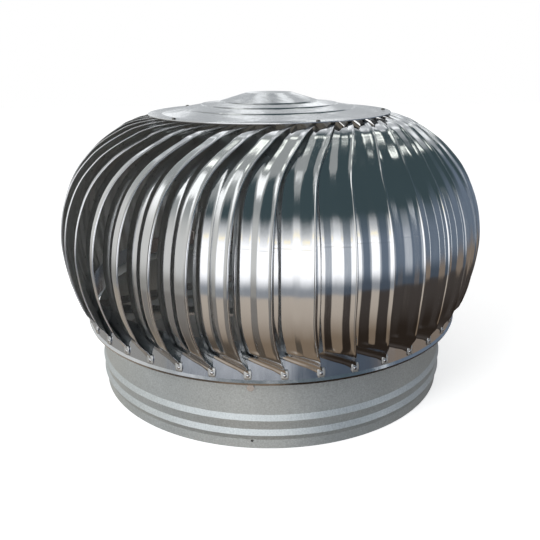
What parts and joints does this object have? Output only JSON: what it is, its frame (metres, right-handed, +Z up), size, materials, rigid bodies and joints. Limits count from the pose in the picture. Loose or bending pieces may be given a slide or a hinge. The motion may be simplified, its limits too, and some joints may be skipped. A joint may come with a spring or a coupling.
{
  "type": "roof turbine ventilator",
  "caption": "Wind-driven roof ventilator: a ring of pressed, twisted vanes under a stepped cap spins on a fixed shaft above a ridged round throat collar.",
  "frame": {"origin": "centre of the collar's bottom edge, on the axis of rotation", "axes": "+Z up along the axis of rotation; -Y towards the front, +X to the right"},
  "size_m": [0.7052, 0.7052, 0.4811],
  "materials": {
    "collar_steel": "dull rolled stainless sheet",
    "rotor_steel": "bright mill finish stainless sheet",
    "cap_steel": "bright spun stainless sheet",
    "skirt_steel": "bright rolled stainless sheet",
    "bracket_steel": "flat stainless bar, mill finish",
    "bolt_steel": "plain stainless fasteners",
    "shaft_steel": "turned bright steel",
    "bearing_steel": "polished bearing steel",
    "housing_steel": "pressed stainless, satin"
  },
  "bodies": {
    "base": {"throat_collar": "collar_steel", "cross_bracket": "bracket_steel", "bracket_bolts": "bolt_steel", "shaft": "shaft_steel", "shaft_nuts": "bolt_steel", "bearing_inner_rings": "bearing_steel"},
    "rotor": {"bearing_outer_rings": "bearing_steel", "bearing_housings": "housing_steel", "skirt_ring": "skirt_steel", "rotor_spider": "bracket_steel", "top_plate": "rotor_steel", "cap": "cap_steel", "vane_01": "rotor_steel", "vane_02": "rotor_steel", "vane_03": "rotor_steel", "vane_04": "rotor_steel", "vane_05": "rotor_steel", "vane_06": "rotor_steel", "vane_07": "rotor_steel", "vane_08": "rotor_steel", "vane_09": "rotor_steel", "vane_10": "rotor_steel", "vane_11": "rotor_steel", "vane_12": "rotor_steel", "vane_13": "rotor_steel", "vane_14": "rotor_steel", "vane_15": "rotor_steel", "vane_16": "rotor_steel", "vane_17": "rotor_steel", "vane_18": "rotor_steel", "vane_19": "rotor_steel", "vane_20": "rotor_steel", "vane_21": "rotor_steel", "vane_22": "rotor_steel", "vane_23": "rotor_steel", "vane_24": "rotor_steel", "vane_25": "rotor_steel", "vane_26": "rotor_steel", "vane_27": "rotor_steel", "vane_28": "rotor_steel", "vane_29": "rotor_steel", "vane_30": "rotor_steel", "vane_31": "rotor_steel", "vane_32": "rotor_steel", "vane_33": "rotor_steel", "vane_34": "rotor_steel", "vane_35": "rotor_steel", "vane_36": "rotor_steel", "vane_37": "rotor_steel", "vane_38": "rotor_steel", "vane_39": "rotor_steel", "vane_40": "rotor_steel"}
  },
  "joints": [
    {"name": "rotor_spin", "type": "hinge", "parent": "base", "child": "rotor", "pos_m": [0, 0, 0.3], "axis": [0, 0, 1], "continuous": true}
  ]
}
